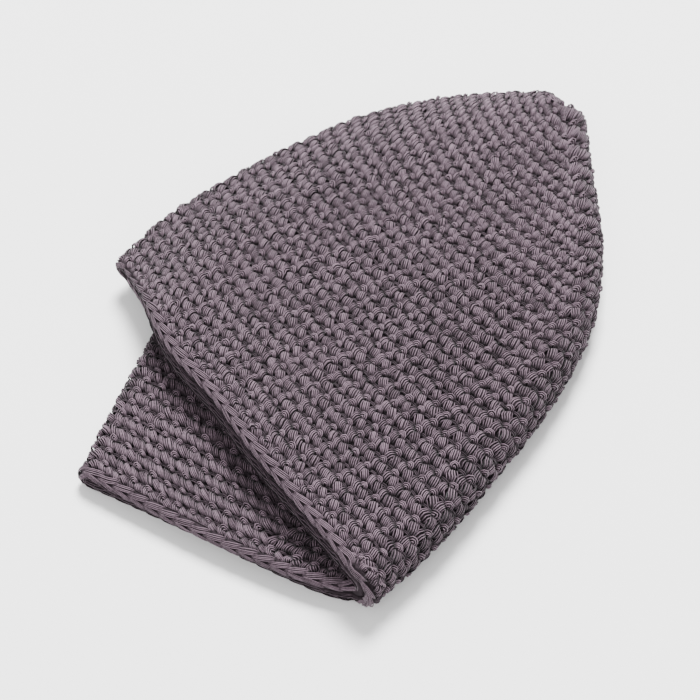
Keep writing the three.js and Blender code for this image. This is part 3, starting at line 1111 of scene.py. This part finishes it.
class Rim:
    """The line that the edging follows round the mouth, as points and directions at even steps.

    out is square to the cap's face, and along lies in it and points to the crown. The braid faces
    outwards and away from the crown. Where the edging is turned, at the free side and at the fold's
    corner, it faces nearly straight away from the crown, and at the corner it is lifted as well.
    """

    POINTS = 720
    STEP_AHEAD = 0.2

    # In metres: how far the turned part reaches past the corner stitches and fades out there, and
    # how far the line lies up from the middle of the wall, deeper where turned, back where free.
    MARGIN = 0.003
    FADE = 0.004
    RAISED = 0.0003
    TURNED_SUNK = 0.0005
    FREE_BACK = 0.0012

    # Where the free side starts, as a share of half the way across, and which way the braid faces:
    # outwards and away from the crown, and how much less and more so where it is turned.
    FREE_START = 0.5
    FREE_REACH = 0.42
    OUTWARDS = 0.85
    OUTWARDS_LOSS = 0.75
    AWAY = 0.53
    AWAY_GAIN = 0.47

    def __init__(self, surface, sizes):
        around = np.linspace(0, surface.girth[0], self.POINTS, endpoint=False)
        face, self.out = surface.look_up(np.full(self.POINTS, EDGING_ROUND), around)
        ahead, _ = surface.look_up(np.full(self.POINTS, EDGING_ROUND + self.STEP_AHEAD), around)
        along = ahead - face
        self.along = unit(along - self.out * np.sum(along * self.out, axis=-1, keepdims=True))
        ring = np.full(self.POINTS, surface.station(EDGING_ROUND + Surface.FIRST_ROUND))
        begin, stop = surface.corner_span()
        corner = smooth((around - begin + self.MARGIN) / self.FADE)
        corner = corner * smooth((stop + self.MARGIN - around) / self.FADE)
        free = smooth((surface.cross_share(ring, around) - self.FREE_START) / self.FREE_REACH)[:, None]
        turned = np.maximum(free, corner[:, None])
        sunk = sizes.wall / 2 - sizes.relief - self.RAISED + self.TURNED_SUNK * turned
        self.centre = face - self.out * sunk + self.along * self.FREE_BACK * free
        self.lifted = corner[:, None] * (sizes.edging / 2) * CORNER_LIFT
        self.facing = unit(self.out * (self.OUTWARDS - self.OUTWARDS_LOSS * turned)
                           - self.along * (self.AWAY + self.AWAY_GAIN * turned))
        step = np.roll(self.centre, -1, axis=0) - np.roll(self.centre, 1, axis=0)
        self.sideways = unit(np.cross(self.facing, unit(step)))
        gap = np.linalg.norm(np.roll(self.centre, -1, axis=0) - self.centre, axis=-1)
        self.run = np.concatenate([[0], np.cumsum(gap)])
        self.length = self.run[-1]

    def read(self, values, distance):
        """What is given at the line's points, read at distances along it."""
        wrapped = np.concatenate([values, values[:1]])
        d = np.mod(distance, self.length)
        return np.stack([np.interp(d, self.run, part) for part in wrapped.T], axis=-1)


def braid(rim, sizes, rng):
    """The slip stitches along the mouth: two arms each, ply by ply.

    A strand rises over the line like an ellipse across the braid, by the square root of one minus
    the square of its place across, times a height that the knots give.
    """
    steps, plies, sides = 9, 4, 5
    radius = sizes.edging / 2
    count = int(round(rim.length / sizes.stitch_width))
    pitch = rim.length / count
    parts = []
    for sign, arm in ((1, OUTER_ARM), (-1, CROWN_ARM)):
        knots = np.repeat(arm[None], count, axis=0)
        knots[..., :2] += rng.normal(0, 0.02, knots[..., :2].shape)
        knots[..., 3] *= rng.normal(1, 0.08, (count, 1))
        course = curve_through(knots, steps)[:, None]
        place = np.linspace(-1, 1, plies)[None, :, None] + rng.normal(0, PLY_SPREAD, (count, plies, 1))
        half = course[..., 3] * sizes.edging * BRAID_BUNDLE
        across = sign * (course[..., 1] * sizes.edging) + place * half
        distance = (np.arange(count)[:, None, None] - course[..., 0]) * pitch
        distance = np.broadcast_to(distance, across.shape)
        rise = np.sqrt(np.maximum(1 - (across / (radius * BRAID_REACH)) ** 2, 0.02))
        over = radius * (BRAID_LOW + BRAID_HIGH * course[..., 2]) * rise + radius * BRAID_BASE
        stray = rng.normal(0, HEIGHT_SPREAD, (count, plies, 1)) * radius
        over = over + stray + rim.read(rim.lifted, distance)[..., 0]
        facing, sideways = rim.read(rim.facing, distance), rim.read(rim.sideways, distance)
        points = rim.read(rim.centre, distance) + facing * over[..., None] + sideways * across[..., None]
        points[..., 2] = np.maximum(points[..., 2], sizes.ply)
        normals = unit(facing + sideways * (across / radius)[..., None] * 0.6)
        shape = (count * plies, steps)
        thick = np.full(shape, sizes.ply * BRAID_PLY) * rng.normal(1, PLY_SPREAD, (shape[0], 1))
        # Painted shade: a strand is darker where its knots lie low in the braid.
        depth = np.clip(0.04 + 0.98 * np.broadcast_to(course[..., 2], across.shape), 0, 1.1) ** 1.7
        shade = depth.reshape(shape) * rng.normal(1, 0.14, (shape[0], 1))
        parts.append(strands(points.reshape(*shape, 3), normals.reshape(*shape, 3), thick, shade, sides))
    return join_parts("mouth_braid", parts)


def rim_strands(rim, sizes, rng):
    """Strands along the rim's face, each at its own angle round the line, with two waves each."""
    even = np.linspace(0, rim.length, RIM_STEPS)
    out, along = unit(rim.read(rim.out, even)), unit(rim.read(rim.along, even))
    angle = np.linspace(*RIM_TURNS, RIM_STRANDS)[:, None] * np.pi
    wave = 2 * np.pi * rng.uniform(0, 1, (RIM_STRANDS, 2, 1))
    angle = angle + 0.14 * np.sin(even * 520 + wave[:, 0]) + 0.08 * np.sin(even * 1250 + wave[:, 1])
    reach = sizes.edging / 2 * RIM_REACH * (1 + rng.normal(0, 0.03, (RIM_STRANDS, 1)))
    way = out * np.cos(angle)[..., None] - along * np.sin(angle)[..., None]
    points = rim.read(rim.centre, even) + way * reach[..., None]
    points[..., 2] = np.maximum(points[..., 2], sizes.ply)
    thick = np.full(points.shape[:2], sizes.ply * RIM_PLY)
    # Painted shade: the rim's strands are darkened by RIM_SHADE.
    shade = RIM_SHADE * np.repeat(rng.normal(1, SHADE_SPREAD, (RIM_STRANDS, 1)), RIM_STEPS, axis=1)
    return join_parts("rim_strands", [strands(points, way, thick, shade, 4)])


def edging_core(rim, sizes):
    """The round cord inside the edging, just under its strands and off the floor."""
    even = np.linspace(0, rim.length, RIM_STEPS)[:-1]
    angle = 2 * np.pi * np.arange(CORE_SIDES) / CORE_SIDES
    reach = sizes.edging / 2 * CORE_SHARE
    out, along = rim.read(rim.out, even)[:, None], rim.read(rim.along, even)[:, None]
    rings = (rim.read(rim.centre, even)[:, None] + out * (reach * np.cos(angle))[None, :, None]
             + along * (reach * np.sin(angle))[None, :, None])
    rings[..., 2] = np.maximum(rings[..., 2], FLOOR_GAP)
    core = make_mesh("edging_core", *ring_mesh(np.concatenate([rings, rings[:1]])))
    weld(core)
    return core


class KUFI_OT_edging(bpy.types.Operator):
    """Lays the braid of slip stitches along the mouth"""

    bl_idname = "kufi.edging"
    bl_label = "Mouth edging"

    def execute(self, context):
        sizes = context.scene.cap_sizes
        colours = context.scene.cap_colours
        rim = Rim(CapState.surface, sizes)
        rng = np.random.default_rng(7)
        yarn = yarn_material("edging_yarn", colours)
        finish_piece(braid(rim, sizes, rng), yarn)
        finish_piece(rim_strands(rim, sizes, rng), yarn)
        # The edging's core wears the inner wall's painted shade.
        core = wall_material("edging_core_cotton", colours)
        finish_piece(edging_core(rim, sizes), core, EDGING_NODE)
        return {"FINISHED"}


def looking_from(back):
    """The turn of an upright camera or lamp that looks against a unit direction, as a quaternion."""
    right = np.cross(UP, back)
    right = right / np.linalg.norm(right)
    turn = np.stack([right, np.cross(back, right), back], axis=1)
    return Matrix(turn.tolist()).to_quaternion()


class KUFI_OT_stage(bpy.types.Operator):
    """Makes the floor, the soft lights and the camera"""

    bl_idname = "kufi.stage"
    bl_label = "Floor, lights and camera"

    def execute(self, context):
        colours = context.scene.cap_colours
        corners = FLOOR_HALF * np.array([(-1, -1, 0), (1, -1, 0), (1, 1, 0), (-1, 1, 0)])
        floor = make_mesh("floor", corners, np.array([(0, 1, 2), (0, 2, 3)]))
        floor.data.materials.append(floor_material("pale_floor", colours.floor))
        back = np.array([math.sin(CAMERA_AZIMUTH) * math.cos(CAMERA_ELEVATION),
                         -math.cos(CAMERA_AZIMUTH) * math.cos(CAMERA_ELEVATION), math.sin(CAMERA_ELEVATION)])
        camera = bpy.data.objects.new("camera", bpy.data.cameras.new("camera"))
        camera.data.lens = CAMERA_LENS
        camera.data.sensor_width = 36.0
        camera.location = CapState.shift + back * CAMERA_DISTANCE
        camera.rotation_mode = "QUATERNION"
        camera.rotation_quaternion = looking_from(back)
        context.scene.collection.objects.link(camera)
        context.scene.camera = camera
        world = bpy.data.worlds.new("studio")
        world.use_nodes = True
        background = world.node_tree.nodes["Background"]
        background.inputs["Color"].default_value = (1.0, 1.0, 1.0, 1.0)
        background.inputs["Strength"].default_value = WORLD_LIGHT
        context.scene.world = world
        for name, place, side, power in LAMPS:
            lamp = bpy.data.objects.new(name, bpy.data.lights.new(name, "AREA"))
            lamp.data.size = side
            lamp.data.energy = power
            lamp.location = place
            lamp.rotation_mode = "QUATERNION"
            lamp.rotation_quaternion = looking_from(np.array(place) / np.linalg.norm(place))
            context.scene.collection.objects.link(lamp)
        return {"FINISHED"}


class KUFI_PT_panel(bpy.types.Panel):
    """Lists the sizes, the colours and the steps"""

    bl_idname = "KUFI_PT_panel"
    bl_label = "Crochet cap"
    bl_space_type = "VIEW_3D"
    bl_region_type = "UI"
    bl_category = "Cap"

    def draw(self, context):
        for group in (context.scene.cap_sizes, context.scene.cap_colours):
            for name in group.bl_rna.properties.keys():
                if name not in ("rna_type", "name"):
                    self.layout.prop(group, name)
        for step in STEPS:
            self.layout.operator(step.bl_idname)


STEPS = (KUFI_OT_wall, KUFI_OT_rounds, KUFI_OT_edging, KUFI_OT_stage)
CLASSES = (CapSizes, CapColours, *STEPS, KUFI_PT_panel)


def register():
    for item in CLASSES:
        bpy.utils.register_class(item)
    bpy.types.Scene.cap_sizes = bpy.props.PointerProperty(type=CapSizes)
    bpy.types.Scene.cap_colours = bpy.props.PointerProperty(type=CapColours)


def unregister():
    del bpy.types.Scene.cap_colours
    del bpy.types.Scene.cap_sizes
    for item in reversed(CLASSES):
        bpy.utils.unregister_class(item)


def main():
    register()
    sizes = bpy.context.scene.cap_sizes
    fold = Fold(sizes)
    CapState.shift = shift_to_frame(fold, sizes)
    CapState.surface = Surface(fold, sizes, sizes.wall - sizes.relief)
    CapState.surface.shift = CapState.shift
    bpy.ops.kufi.wall()
    bpy.ops.kufi.rounds()
    bpy.ops.kufi.edging()
    bpy.ops.kufi.stage()


if __name__ == "__main__":
    main()
